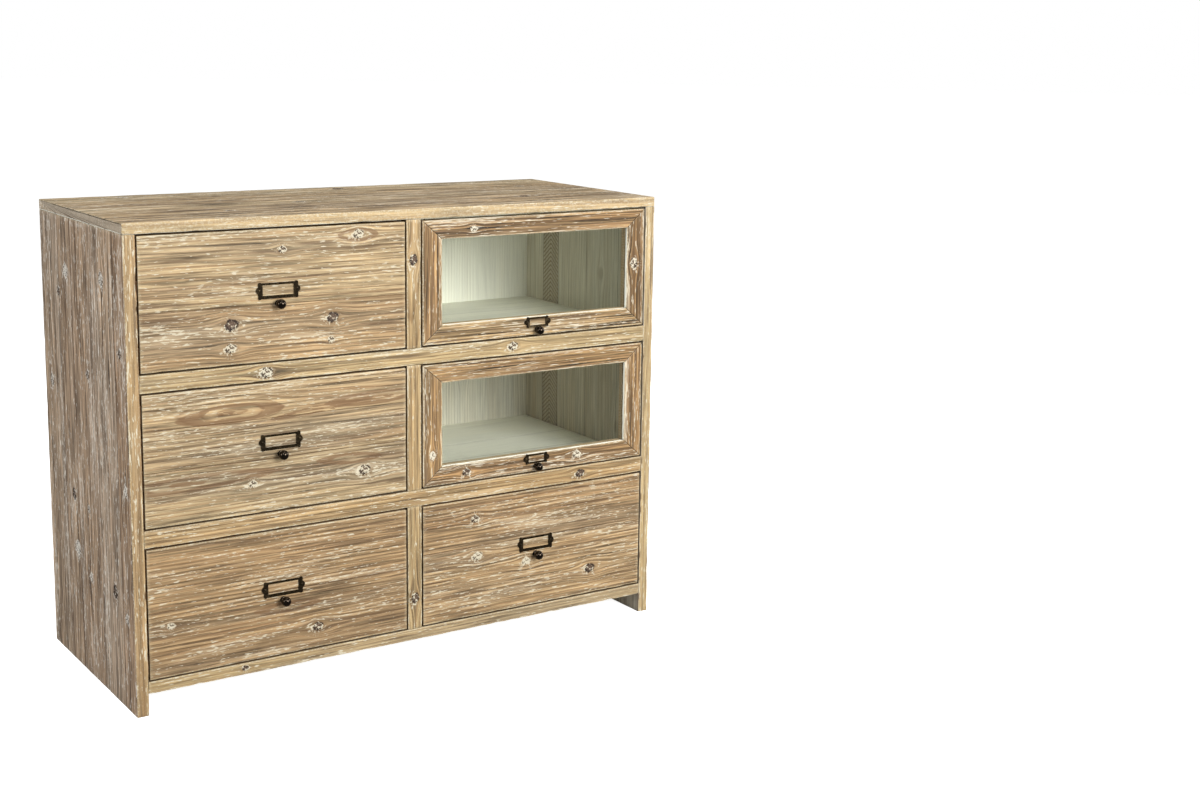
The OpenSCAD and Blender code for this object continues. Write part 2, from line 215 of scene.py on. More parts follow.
woodLooks = {
    "front": {"early": (0.338, 0.258, 0.143), "late": (0.165, 0.096, 0.042), "grey": (0.235, 0.190, 0.120),
              "lime": (0.52, 0.47, 0.35), "limeLevel": 0.60, "greyLevel": 0.56, "darkLevel": 0.58,
              "contrast": 1.6, "edge": 0.35, "long": 1.7, "fine": 1.0},
    "frame": {"early": (0.350, 0.262, 0.134), "late": (0.180, 0.108, 0.045), "grey": (0.255, 0.200, 0.125),
              "lime": (0.55, 0.51, 0.39), "limeLevel": 0.60, "greyLevel": 0.62, "darkLevel": 0.60,
              "contrast": 1.3, "edge": 0.35, "long": 2.0, "fine": 1.0},
    "flap": {"early": (0.262, 0.178, 0.083), "late": (0.135, 0.074, 0.031), "grey": (0.19, 0.145, 0.082),
             "lime": (0.58, 0.53, 0.41), "limeLevel": 0.595, "greyLevel": 0.64, "darkLevel": 0.56,
             "contrast": 2.5, "edge": 0.4, "long": 2.6, "fine": 1.25},
    "side": {"early": (0.45, 0.352, 0.250), "late": (0.215, 0.142, 0.088), "grey": (0.42, 0.350, 0.275),
             "lime": (0.80, 0.75, 0.66), "limeLevel": 0.595, "greyLevel": 0.52, "darkLevel": 0.565,
             "contrast": 1.9, "edge": 0.3, "long": 1.5, "fine": 0.65},
    "top": {"early": (0.39, 0.305, 0.182), "late": (0.255, 0.172, 0.095), "grey": (0.34, 0.28, 0.19),
            "lime": (0.66, 0.60, 0.48), "limeLevel": 0.60, "greyLevel": 0.55, "darkLevel": 0.565,
            "contrast": 2.4, "edge": 0.3, "long": 1.6, "fine": 0.6},
    "raw": {"early": (0.60, 0.45, 0.27), "late": (0.42, 0.27, 0.14), "grey": (0.50, 0.39, 0.27),
            "lime": (0.66, 0.56, 0.41), "limeLevel": 0.80, "greyLevel": 0.62, "darkLevel": 0.66,
            "contrast": 1.0, "edge": 0.2, "long": 1.0, "fine": 1.0},
}
knotLook = {"rim": (0.034, 0.019, 0.011), "heart": (0.115, 0.074, 0.048), "long": 1.2, "size": 1.3}
# gap darkens joints at plank seams and mitres, and also paints the shade inside the gaps between parts
woodShades = {"stain": (0.91, 0.80, 0.72), "swirl": (0.155, 0.085, 0.038), "check": (0.090, 0.052, 0.026),
              # worn lightens worn edges and also stands in for the highlight along the rounded edges, a
              # painted highlight
              "worn": (0.52, 0.415, 0.245), "gap": (0.062, 0.024, 0.007)}


# How far a point is from the nearest knot, in the knot's own radii, and two places for noise: one that
# changes only with the way out of the knot, and one that lies flat round it
def knotReach(recipe):
    along, across, radius = recipe.parts(recipe.mark("knot", "Vector"))
    radius = radius.top(0.01 * mm)
    flat = along / knotLook["long"]
    near = (flat * flat + across * across) ** 0.5 / radius
    outward = recipe.node("ShaderNodeVectorMath", {"operation": "NORMALIZE"},
                          {0: recipe.joined(flat, across, 0.0)})
    east, north = recipe.parts(outward)[:2]
    return near, recipe.joined(east, north, radius * 700), recipe.joined(along, across, radius * 3)


def woodRecipe(name, look):
    recipe = Recipe(name)
    grain = recipe.mark("grain", "Vector")
    wear, seam, tone, swirl, fill = (recipe.mark(key) for key in ("wear", "seam", "tone", "swirl", "fill"))
    run = recipe.stretched(grain, (1 / look["long"], look["fine"], look["fine"]))
    drift = recipe.noise(run, (1.7, 15, 15), 2)
    band = recipe.noise(run, (2.6, 115, 115), 3, 0.6)
    fibre = recipe.noise(run, (11, 235, 235), 3, 0.7)
    pore = recipe.noise(grain, (60, 900, 900), 2)
    late = recipe.ramp((recipe.mark("rings") + (band - 0.5) * 0.6).fract(),
                       [(0.0, 0.6), (0.07, 0.02), (0.42, 0.08), (0.74, 0.5), (0.92, 1.0), (1.0, 0.8)])
    wood = recipe.blend(late * (drift * 1.2 + 0.15), look["early"], look["late"])
    grey = drift.ease(look["greyLevel"] - 0.1, look["greyLevel"] + 0.12)
    wood = recipe.blend(grey * 0.7, wood, look["grey"])
    wood = recipe.blend(band.ease(0.5, 0.68) * 0.35, wood, look["late"])
    wood = recipe.blend(tone * 0.4 + 0.4, wood, woodShades["stain"], "MULTIPLY")
    wood = recipe.brighter(wood, 1 - tone.ease(1.2, 3.0) * 0.38)
    wood = recipe.brighter(wood, (fibre - 0.5) * (2.3 * look["contrast"]) + (band - 0.5) * 0.6
                           + (pore - 0.5) * 0.5 + 1.03)

    # brown outlines of the flat-sawn grain
    ragged = (swirl + (fibre - 0.5) * 0.6).ease(0.4, 0.62)
    wood = recipe.blend(ragged * 0.75, wood, woodShades["swirl"])

    # dark checks that opened along the grain
    split = recipe.noise(run, (14, 230, 230), 2, 0.6)
    place = recipe.noise(run, (3.5, 40, 40), 1)
    check = (split + (place - 0.5) * 0.5).ease(look["darkLevel"], look["darkLevel"] + 0.08)
    wood = recipe.blend(check * 0.65, wood, woodShades["check"])

    # knots: a dark rim round a lighter heart, with filler crumbs in it, beside it and along its rays
    crumb = recipe.noise(grain, (290, 330, 330), 3, 0.7)
    near, outward, spot = knotReach(recipe)
    near = near + (recipe.noise(spot, (75, 75, 1), 2) - 0.5) * 1.1
    chip = recipe.noise(spot, (185, 185, 1), 3, 0.7)
    heart = 1 - near.ease(0.8, 1.08)
    wood = recipe.blend((1 - near.ease(0.9, 2.0)) * 0.5, wood, look["late"])
    wood = recipe.blend(heart * (1.05 - fill * 0.3), wood,
                        recipe.blend(near.ease(0.1, 0.8), knotLook["heart"], knotLook["rim"]))
    wood = recipe.brighter(wood, heart * (chip - 0.5) * 5 + 1)
    sector = recipe.noise(outward, (1.1, 1.1, 1), 0)
    ray = recipe.noise(outward, (8, 8, 1), 1).ease(0.53, 0.6) * sector.ease(0.5, 0.62)
    filled = (1 - abs(near - 1.05).ease(0.2, 0.5)) * sector.ease(0.42, 0.54) * chip.ease(0.5, 0.56)
    speckled = (1 - near.ease(0.9, 1.3)) * (chip + (fill - 0.5) * 0.17).ease(0.505, 0.56)
    rayed = ray * near.ease(0.95, 1.15) * (1 - near.ease(1.6, 2.3)) * chip.ease(0.4, 0.5) * 0.8
    filler = filled.top(speckled).top(rayed)

    # lime left in the brushed grain and along the edges
    fleck = recipe.noise(run, (110, 400, 400), 2, 0.55)
    wash = recipe.noise(run, (6, 42, 42), 3, 0.6)
    limeAt = fleck + (wash - 0.5) * 0.45 + (fibre - 0.5) * 0.3 + wear * 0.04 - late * 0.03 - swirl * 0.06
    lime = limeAt.ease(look["limeLevel"], look["limeLevel"] + 0.07)
    lime = lime.top(wear * crumb.ease(0.5, 0.58) * (look["edge"] * 1.7))
    lime = lime.top(wash.ease(0.47, 0.72) * fibre.ease(0.42, 0.62) * 0.4) * (1 - swirl * 0.7) * (1 - heart)
    # worn edges painted lighter; this also paints the highlight along the rounded edges
    wood = recipe.blend(wear * look["edge"], wood, woodShades["worn"])
    wood = recipe.blend(lime * 0.8, wood, look["lime"])
    wood = recipe.blend(filler * 0.9, wood, look["lime"])
    # dark joints at plank seams and mitres, and painted shade on the edges inside the gaps between parts
    wood = recipe.blend(seam * 0.95, wood, woodShades["gap"])

    height = late * 0.5 + fibre * 0.8 - check * 1.2 - seam + lime * 0.2 + heart * chip * 1.2
    return recipe.principled({
        "Base Color": wood,
        "Roughness": 0.6 + lime * 0.2 - late * 0.08 + seam * 0.4,
        "Specular IOR Level": 0.3,
        "Normal": recipe.bump(height, 0.7, 0.5 * mm),
    })


# gap darkens the joints between boards and also paints the shade just behind the front, inside the gaps
paintLook = {"paint": (0.94, 0.93, 0.815), "thin": (0.46, 0.395, 0.29), "darkening": (0.19, 0.145, 0.095),
             "knot": (0.38, 0.32, 0.235), "gap": (0.085, 0.052, 0.028)}


def paintRecipe(name):
    recipe = Recipe(name)
    grain = recipe.mark("grain", "Vector")
    seam, bare, tooth = (recipe.mark(key) for key in ("seam", "bare", "saw"))
    fibre = recipe.noise(grain, (8, 330, 330), 3, 0.65)
    drift = recipe.noise(grain, (2.5, 26, 26), 3)
    late = recipe.ramp((recipe.mark("rings") + (drift - 0.5)).fract(),
                       [(0.0, 0.6), (0.1, 0.1), (0.6, 0.2), (0.92, 1.0), (1.0, 0.6)])
    paint = recipe.blend(late * 0.25 + (drift - 0.42) * 0.8 + bare, paintLook["paint"], paintLook["thin"])
    paint = recipe.brighter(paint, (fibre - 0.5) * (0.6 + bare * 1.2) + (drift - 0.5) * 0.4 + 1.02)
    chatter = (abs((tooth * 105).fract() - 0.5) + (fibre - 0.5) * 0.4).ease(0.26, 0.36) * recipe.mark("sawn")
    paint = recipe.blend(chatter * 0.7, paint, paintLook["darkening"])
    near = knotReach(recipe)[0] + (fibre - 0.5) * 0.6
    paint = recipe.blend((1 - near.ease(0.7, 1.3)) * 0.4, paint, paintLook["knot"])
    # dark joints between the boards, and painted shade just behind the front inside the gaps
    paint = recipe.blend(seam * 0.9, paint, paintLook["gap"])
    height = late * 0.4 + fibre * 0.5 - seam - chatter * 0.8
    return recipe.principled({
        "Base Color": paint,
        "Roughness": 0.5 + fibre * 0.15,
        "Specular IOR Level": 0.4,
        "Normal": recipe.bump(height, 0.4, 0.4 * mm),
    })


rawLooks = {"box": {"early": (0.62, 0.46, 0.28), "late": (0.43, 0.27, 0.14)},
            "bottom": {"early": (0.66, 0.52, 0.34), "late": (0.50, 0.35, 0.20)}}


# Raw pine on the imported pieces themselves, read from Object coordinates; order puts the grain first
def rawRecipe(name, order, look):
    recipe = Recipe(name)
    place = recipe.parts(recipe.node("ShaderNodeTexCoord", output="Object"))
    parts = [place["xyz".index(axis)] for axis in order]
    grain = recipe.joined(*parts)
    wobble = recipe.noise(grain, (3.1, 21, 21), 3)
    fibre = recipe.noise(grain, (12, 650, 650), 3, 0.6)
    across, depth = parts[1] + 0.043, parts[2] + 0.31
    radius = (across * across + depth * depth) ** 0.5
    ring = recipe.ramp((radius * 170 + wobble * 5).fract(), [(0.0, 0.6), (0.1, 0.0), (0.7, 0.4), (1.0, 1.0)])
    wood = recipe.blend(ring * 0.75, look["early"], look["late"])
    wood = recipe.brighter(wood, (fibre - 0.5) * 0.4 + (wobble - 0.5) * 0.3 + 1)
    return recipe.principled({
        "Base Color": wood,
        "Roughness": 0.6 + fibre * 0.15,
        "Specular IOR Level": 0.3,
        "Normal": recipe.bump(fibre + ring * 0.4, 0.35, 0.3 * mm),
    })


metalLooks = {
    "bronze": {"dark": (0.022, 0.015, 0.007), "worn": (0.095, 0.066, 0.032), "metal": 0.8, "rough": 0.24,
               "spec": 0.4},
    "knob": {"dark": (0.034, 0.026, 0.019), "worn": (0.066, 0.050, 0.036), "metal": 1.0, "rough": 0.05,
             "spec": 0.5},
    "steel": {"dark": (0.20, 0.20, 0.195), "worn": (0.42, 0.42, 0.41), "metal": 1.0, "rough": 0.38,
              "spec": 0.5},
    "nail": {"dark": (0.055, 0.050, 0.046), "worn": (0.18, 0.13, 0.09), "metal": 0.7, "rough": 0.55,
             "spec": 0.4},
}


def metalRecipe(name, look):
    recipe = Recipe(name)
    place = recipe.node("ShaderNodeTexCoord", output="Object")
    cloud = recipe.noise(place, (160, 160, 160), 3, 0.6)
    speck = recipe.noise(place, (900, 900, 900), 2)
    metal = recipe.blend(cloud.ease(0.48, 0.72) * 0.6 + speck * 0.12, look["dark"], look["worn"])
    return recipe.principled({
        "Base Color": metal,
        "Metallic": look["metal"],
        "Roughness": look["rough"] + cloud * 0.08,
        "Specular IOR Level": look["spec"],
        "Normal": recipe.bump(speck, 0.12, 0.1 * mm),
    })


glassLook = {"clear": (0.972, 0.984, 0.976), "sheen": (0.72, 0.77, 0.75), "index": 1.45}


def glassRecipe(name):
    recipe = Recipe(name)
    place = recipe.node("ShaderNodeTexCoord", output="Object")
    dust = recipe.noise(place, (35, 35, 35), 4, 0.6)
    fresnel = recipe.node("ShaderNodeFresnel", None, {"IOR": glassLook["index"]})
    clear = recipe.node("ShaderNodeBsdfTransparent", None, {"Color": opaque(glassLook["clear"])})
    sheen = recipe.node("ShaderNodeBsdfPrincipled", None, {
        "Base Color": opaque(glassLook["sheen"]), "Metallic": 1.0, "Roughness": dust * 0.04 + 0.015})
    mixed = recipe.node("ShaderNodeMixShader", None,
                        {0: fresnel * 0.85 + dust.ease(0.5, 0.9) * 0.03, 1: clear, 2: sheen})
    recipe.node("ShaderNodeOutputMaterial", None, {"Surface": mixed})
    return recipe.material


finish = {key + "Pine": woodRecipe(key + "Pine", look) for key, look in woodLooks.items()}
finish.update({
    "paintedPine": paintRecipe("paintedPine"),
    "boxAlongX": rawRecipe("boxAlongX", "xyz", rawLooks["box"]),
    "boxAlongY": rawRecipe("boxAlongY", "yzx", rawLooks["box"]),
    "bottomBoard": rawRecipe("drawerBottomPine", "xyz", rawLooks["bottom"]),
    "darkBronze": metalRecipe("darkBronze", metalLooks["bronze"]),
    "knobBronze": metalRecipe("knobBronze", metalLooks["knob"]),
    "pinSteel": metalRecipe("pinSteel", metalLooks["steel"]),
    "nailIron": metalRecipe("nailIron", metalLooks["nail"]),
    "windowGlass": glassRecipe("windowGlass"),
})
print("finishes made:", len(finish))


# Smooth noise for shapes, from 0 to 1
def hashed(cells, seed):
    x, y, z = cells.astype(np.uint32).T
    mixed = x * np.uint32(73856093) ^ y * np.uint32(19349663) ^ z * np.uint32(83492791)
    mixed = (mixed ^ np.uint32(seed * 7919 + 17)) * np.uint32(1274126177)
    mixed = (mixed ^ mixed >> np.uint32(15)) * np.uint32(2246822519)
    return (mixed >> np.uint32(8)) / float(1 << 24)


def smoothNoise(points, seed):
    base = np.floor(points).astype(np.int64)
    part = points - base
    part = part * part * (3 - 2 * part)
    total = np.zeros(len(points))
    for corner in itertools.product((0, 1), repeat=3):
        weight = np.prod(np.where(np.array(corner) == 1, part, 1 - part), axis=1)
        total += weight * hashed(base + np.array(corner), seed)
    return total


# Boards. A board knows its corner, its axes (along, across, depth), its planks, knots and swirls.
# Its seams, knots and swirls are given in millimetres, a knot's share of filler and a swirl's slope plain

class Board:
    def __init__(self, node, axes, seed, seams=(), knots=(), swirls=(), planks=None, pitch=8 * mm,
                 cathedral=0.25):
        low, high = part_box(node)
        self.axes = [axisOf[axis[-1]] * (-1 if axis[0] == "-" else 1) for axis in axes]
        self.size = [abs((high - low).dot(axis)) for axis in self.axes]
        self.corner = Vector([high[i] if sum(a[i] for a in self.axes) < 0 else low[i] for i in range(3)])
        self.seed, self.pitch, self.knots = seed, pitch, []
        self.seams = [seam * mm for seam in seams]
        self.swirls = [(*(value * mm for value in places), rise) for *places, rise in swirls]
        for at, up, radius, *fill in knots:
            at, up, radius = at * mm, up * mm, radius * mm * knotLook["size"]
            self.knots.append((at, up, radius, fill[0] if fill else (at + up) * 37 % 1))
        dice = np.random.default_rng(seed)
        edges = [0, *self.seams, self.size[1]]
        self.planks = []
        for number, (start, end) in enumerate(zip(edges, edges[1:])):
            middle, wide = (start + end) / 2, end - start
            aside = wide * 0.25 if dice.random() < cathedral else wide * 0.5 + dice.uniform(30, 140) * mm
            plank = {"tone": dice.uniform(-1, 1), "shift": dice.uniform(0, 50, 3),
                     "pith": middle + aside * dice.choice((-1, 1)), "depth": dice.uniform(12, 45) * mm,
                     "swing": dice.uniform(0.2, 0.75), "eye": None}
            plank.update((planks or {}).get(number, {}))
            self.planks.append(plank)

    def local(self, points):  # places in the board's own along, across and depth
        return (np.asarray(points) - np.array(self.corner)) @ np.array(self.axes).T

    def world(self, local):
        return np.array(self.corner) + local @ np.array(self.axes)

    def keep(self, axis, start, size):  # a length of the board along one of its axes
        self.corner = self.corner + self.axes[axis] * start
        self.size[axis] = size

    def rightHanded(self):
        return self.axes[0].cross(self.axes[1]).dot(self.axes[2]) > 0

    def marks(self, local):
        along, across, depth = local.T
        bent, nearest = across.copy(), np.full(len(local), 9.0)
        swirl, filled = np.zeros(len(local)), np.zeros(len(local))
        knot = np.tile((1.0, 1.0, 0.0), (len(local), 1))  # the way from the nearest knot, and its radius
        for at, up, radius, fill in self.knots:
            near = np.hypot((along - at) / 1.9, across - up) / (radius * 1.4)
            bent -= (across - up) * np.exp(-0.7 * near ** 2)
            near = np.hypot((along - at) / knotLook["long"], across - up) / radius
            fade = np.clip((2.9 - near) / 0.6, 0, 1)
            closer = near < nearest
            nearest = np.where(closer, near, nearest)
            knot[closer] = np.stack([along - at, across - up, radius * fade], 1)[closer]
            filled[closer] = fill
        for at, up, length, height, rise in self.swirls:  # brown outlines of flat-sawn grain
            ragged = smoothNoise(local * (40, 160, 1), self.seed + 6) - 0.5
            lens = (np.abs(along - at) / length) ** 1.8 + (
                np.abs(across - up - (along - at) * rise) / height) ** 1.6 + ragged * 0.35
            outline = np.exp(-((lens - 0.85) / (0.22 + 0.35 * (ragged + 0.5))) ** 2)
            swirl = np.maximum.reduce([swirl, outline, np.exp(-(lens / 0.08) ** 2)])
        which = np.searchsorted(self.seams, across)
        grain, rings, tone = np.zeros((len(local), 3)), np.zeros(len(local)), np.zeros(len(local))
        for number, plank in enumerate(self.planks):
            here = which == number
            if not here.any():
                continue
            u, v, w = along[here], bent[here], depth[here]
            drift = np.stack([u * 2.6, v * 6, w * 0 + number], 1) + plank["shift"]
            slow = smoothNoise(drift, self.seed) - 0.5
            quick = smoothNoise(drift * (3, 9, 1), self.seed + 1) - 0.5
            pithDepth = plank["depth"] * (1 + plank["swing"] * 2 * (smoothNoise(
                np.stack([u * 2.1, u * 0, u * 0], 1) + plank["shift"], self.seed + 2) - 0.5))
            if plank["eye"]:
                at, length, rise = plank["eye"]
                pithDepth = plank["depth"] - rise * np.exp(-((u - at) / length) ** 2)
            reach = np.hypot(v - plank["pith"] + slow * 9 * mm, w + pithDepth)
            rings[here] = reach / self.pitch + slow * 1.3 + quick * 0.3 + plank["shift"][0]
            grain[here] = np.stack([u, v, w], 1) + plank["shift"]
            tone[here] = plank["tone"]
        return {"grain": grain, "rings": rings, "knot": knot, "fill": filled, "tone": tone, "swirl": swirl}


# The outline of a board's section, across and depth, with rounded corners and small notches at the seams
def boardOutline(corners, radius, step, seams, notch, dirtBeside):
    corners = [np.array(corner, float) for corner in corners]
    places, normals, sides, edgy, notched = [], [], [], [], []

    def put(place, normal, side, isEdge=0.0, isNotch=0.0):
        places.append(place)
        normals.append(normal)
        sides.append(side)
        edgy.append(isEdge)
        notched.append(isNotch)

    for side, here in enumerate(corners):
        before, after = corners[side - 1], corners[(side + 1) % len(corners)]
        arriving, leaving = here - before, after - here
        arriving, leaving = arriving / np.linalg.norm(arriving), leaving / np.linalg.norm(leaving)
        convex = 1 if arriving[0] * leaving[1] - arriving[1] * leaving[0] > 0 else -1
        centre = here - arriving * radius + leaving * radius
        for angle in (0, 30, 60, 90):
            way = -leaving * math.cos(math.radians(angle)) + arriving * math.sin(math.radians(angle))
            put(centre + way * radius, way * convex, side if angle > 45 else side - 1, 1.0)
        length = np.linalg.norm(after - here)
        inner = np.linspace(radius, length - radius, max(2, round((length - 2 * radius) / step) + 1))[1:-1]
        isFace = abs(leaving[0]) > 0.5
        cuts = [(abs(seam - here[0]), part) for seam in seams if isFace for part in (-1, 0, 1)]
        inner = [(at, None) for at in inner if all(abs(at - cut) > 1.5 * notch for cut, part in cuts)]
        outward = np.array([leaving[1], -leaving[0]])
        inner += [(cut + part * notch, part) for cut, part in cuts]
        for at, part in sorted(inner, key=lambda item: item[0]):
            sunk = notch * 0.9 if part == 0 else 0.0
            isNotch = 0.0 if part is None else 1.0 if part == 0 else dirtBeside
            put(here + leaving * at - outward * sunk, outward, side, 0.0, isNotch)
    return np.array(places), np.array(normals), np.array(sides), np.array(edgy), np.array(notched)


farEdge, backFace, nearEdge, boardEnds = 1, 2, 3, -1  # the sides of a swept board; its front is 0
sweepSizes = {"across": 2.9 * mm, "along": 6.5 * mm, "corner": 1.1 * mm, "notch": 0.6 * mm,
              "relief": 0.22 * mm, "wear": 1.1 * mm, "wornBeside": 3.5 * mm, "knotDip": 0.45 * mm}
# painted shade on the edges that face into the gaps between parts: it starts just behind the face and fades
# further in
paintedGapShade = {"most": 0.75, "from": 0.8 * mm, "over": 1.6 * mm, "fadesFrom": 6 * mm, "fadesOver": 14 * mm}


def gapShade(depth):  # how much painted shade darkens an edge inside a gap, by its depth behind the face
    starts = np.clip((depth - paintedGapShade["from"]) / paintedGapShade["over"], 0, 1)
    fades = np.clip((depth - paintedGapShade["fadesFrom"]) / paintedGapShade["fadesOver"], 0, 1)
    return paintedGapShade["most"] * starts * (1 - fades)


def paintedShadeBehindFront(board, local):  # how much painted shade darkens a board's back close behind the chest's front, where it looks into the gaps
    onBack = (local[:, 2] > board.size[2] - 1.5 * mm) & (local[:, 1] > 0.8 * mm)
    return 0.85 * onBack * np.clip(1.3 - local[:, 1] / (9 * mm), 0, 1)


# A board swept along its grain. Vertices only move inwards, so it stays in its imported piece
def sweepBoard(board, corners=None, thick=None, mitre=0, across=None, along=None, radius=None,
               shaded=False, dirtBeside=0.2):
    length, wide, full = board.size
    thick = thick or full
    radius = radius or sweepSizes["corner"]
    corners = corners or [(0, 0), (wide, 0), (wide, thick), (0, thick)]
    ring, normals, sides, edgy, notched = boardOutline(
        corners, radius, across or sweepSizes["across"], board.seams, sweepSizes["notch"], dirtBeside)
    count = max(2, round((length - 2 * radius) / (along or sweepSizes["along"])))
    stations = np.concatenate([[0, 0.3 * radius], np.linspace(radius, length - radius, count + 1),
                               [length - 0.3 * radius, length]])
    fromEnd = np.minimum(stations, length - stations)
    sunk = radius - np.sqrt(np.maximum(radius ** 2 - (radius - fromEnd) ** 2, 0))
    inset = np.where(fromEnd < radius, sunk, 0)
    rows, columns = len(stations), len(ring)
    u = mitre * ring[None, :, 0] + stations[:, None] / length * (length - 2 * mitre * ring[None, :, 0])
    local = np.stack([u, np.tile(ring[:, 0], (rows, 1)), np.tile(ring[:, 1], (rows, 1))], 2).reshape(-1, 3)
    normal = np.tile(normals, (rows, 1))
    edge = np.tile(edgy, rows)
    endEdge = np.repeat((fromEnd < radius * 0.99).astype(float), columns)
    brushed = smoothNoise(local * (16, 170, 170), board.seed + 3)
    nibble = smoothNoise(local * (55, 90, 90), board.seed + 4) ** 3
    broad = smoothNoise(local * (5, 22, 22), board.seed + 5)
    push = sweepSizes["relief"] * (0.6 * brushed + 0.4 * broad)
    push += np.maximum(edge, endEdge) * nibble * sweepSizes["wear"]
    for at, up, size, fill in board.knots:
        near = np.hypot((local[:, 0] - at) / 1.3, local[:, 1] - up) / size
        push += sweepSizes["knotDip"] * np.exp(-(near / 0.8) ** 2) * (1 - edge)
    local[:, 1:] -= normal * (push + np.repeat(inset, columns))[:, None]
    marks = board.marks(local)
    toEdge = np.minimum.reduce([local[:, 1], wide - local[:, 1]])
    toEnd = np.repeat(fromEnd, columns)
    beside, atEnd = (np.clip(1 - reach / sweepSizes["wornBeside"], 0, 1) for reach in (toEdge, toEnd))
    # wear: worn edges and ends, which also carries the painted highlight along the rounded edges
    marks["wear"] = np.maximum.reduce([edge, endEdge * (not mitre), beside * 0.6,
                                       atEnd * (0.15 if mitre else 0.6)])
    marks["seam"] = np.maximum(np.tile(notched, rows), endEdge * 0.45 * bool(mitre))
    # painted shade on the edges that face into the gaps round drawers, rails and stiles
    if shaded:
        atEdge = (toEdge < 0.6 * mm) | (toEnd < 0.6 * mm)
        marks["seam"] = np.maximum(marks["seam"], gapShade(local[:, 2]) * atEdge)
    faces, faceSides = [], []
    for row in range(rows - 1):
        for column in range(columns):
            following = (column + 1) % columns
            faces.append((row * columns + column, row * columns + following,
                          (row + 1) * columns + following, (row + 1) * columns + column))
            faceSides.append(int(sides[column]) % len(corners))
    last = (rows - 1) * columns
    faces += [tuple(range(columns - 1, -1, -1)), tuple(range(last, last + columns))]
    faceSides += [boardEnds, boardEnds]
    if not board.rightHanded():
        faces = [face[::-1] for face in faces]
    return {"points": board.world(local), "faces": faces, "sides": np.array(faceSides), "marks": marks}


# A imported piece's mesh with its corners joined
def mergedGrid(node):
    grid = bmesh.new()
    grid.from_mesh(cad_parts[node].data)
    bmesh.ops.remove_doubles(grid, verts=grid.verts, dist=0.005 * mm)
    return grid


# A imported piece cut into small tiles, so that the board's marks follow the grain over its flats
def tiledCopy(board, node, start, tile=9 * mm):
    grid = mergedGrid(node)
    bmesh.ops.dissolve_limit(grid, angle_limit=math.radians(0.5), verts=grid.verts, edges=grid.edges)

    def cut(axis, at, clear=False):
        everything = grid.verts[:] + grid.edges[:] + grid.faces[:]
        found = bmesh.ops.bisect_plane(grid, geom=everything, dist=0.002 * mm, clear_inner=clear,
                                       plane_co=board.corner + board.axes[axis] * at,
                                       plane_no=board.axes[axis])
        return [item for item in found["geom_cut"] if isinstance(item, bmesh.types.BMEdge)]

    bmesh.ops.triangle_fill(grid, use_beauty=True, edges=cut(2, start, True), normal=-board.axes[2])
    for axis in (0, 1):
        for step in range(1, int(board.size[axis] / tile)):
            cut(axis, step * tile)
    bmesh.ops.recalc_face_normals(grid, faces=grid.faces)
    grid.verts.index_update()
    points = np.array([vert.co for vert in grid.verts])
    faces = [tuple(vert.index for vert in face.verts) for face in grid.faces]
    grid.free()
    local = board.local(points)
    marks = board.marks(local)
    along, across, depth = local.T
    toEdge = np.minimum.reduce([along, board.size[0] - along, across, board.size[1] - across])
    # painted shade on the outer edges inside the gap round the drawer
    marks.update({"wear": np.zeros(len(points)), "seam": gapShade(depth) * (toEdge < 0.1 * mm)})
    return {"points": points, "faces": faces, "sides": np.full(len(faces), boardEnds), "marks": marks}


def settle(piece, body, nodes=()):
    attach(piece, body)
    if nodes:
        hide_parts(*nodes)


# One object from several shapes. The first of its finishes goes on every side that sideFinish doesn't name
def makePiece(name, shapes, finishes, body, nodes=(), sideFinish=None):
    mesh = bpy.data.meshes.new(name)
    points, faces, first = [], [], 0
    for shape in shapes:
        faces += [tuple(corner + first for corner in face) for face in shape["faces"]]
        points.append(shape["points"])
        first += len(shape["points"])
    mesh.from_pydata(np.concatenate(points).tolist(), [], faces)
    for key in shapes[0]["marks"]:
        values = np.concatenate([shape["marks"][key] for shape in shapes]).astype(np.float32)
        kind = "FLOAT_VECTOR" if values.ndim == 2 else "FLOAT"
        mark = mesh.attributes.new(key, kind, "POINT")
        mark.data.foreach_set("vector" if values.ndim == 2 else "value", values.ravel())
    sides = np.concatenate([shape["sides"] for shape in shapes])
    mesh.polygons.foreach_set("use_smooth", sides >= 0)
    for key in finishes:
        mesh.materials.append(finish[key])
    mesh.polygons.foreach_set("material_index", [(sideFinish or {}).get(side, 0) for side in sides])
    mesh.update()
    settle(addObject(name, mesh), body, nodes)


# Case. The sides stand with their grain upright; the one beside the glazed compartments is painted inside

sideBoards = {
    "left": {"axes": ("z", "y", "x"), "seed": 21, "planks": {0: {"tone": 1.6}}, "seams": (59, 168, 292, 366),
             "knots": ((755, 325, 9), (764, 122, 9), (712, 371, 6), (647, 34, 6), (533, 432, 8),
                       (580, 214, 6), (333, 320, 8), (406, 24, 6), (230, 309, 10), (324, 233, 5),
                       (204, 98, 9), (171, 38, 6), (194, 234, 6))},
    "right": {"axes": ("z", "y", "-x"), "seed": 22, "seams": (96, 214, 326, 387),
              "knots": ((700, 160, 8), (520, 350, 7), (380, 90, 9), (260, 280, 6), (150, 430, 8),
                        (780, 380, 5))},
}
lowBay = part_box("shelf_upper")[0].z  # the paint is darker and browner below this height


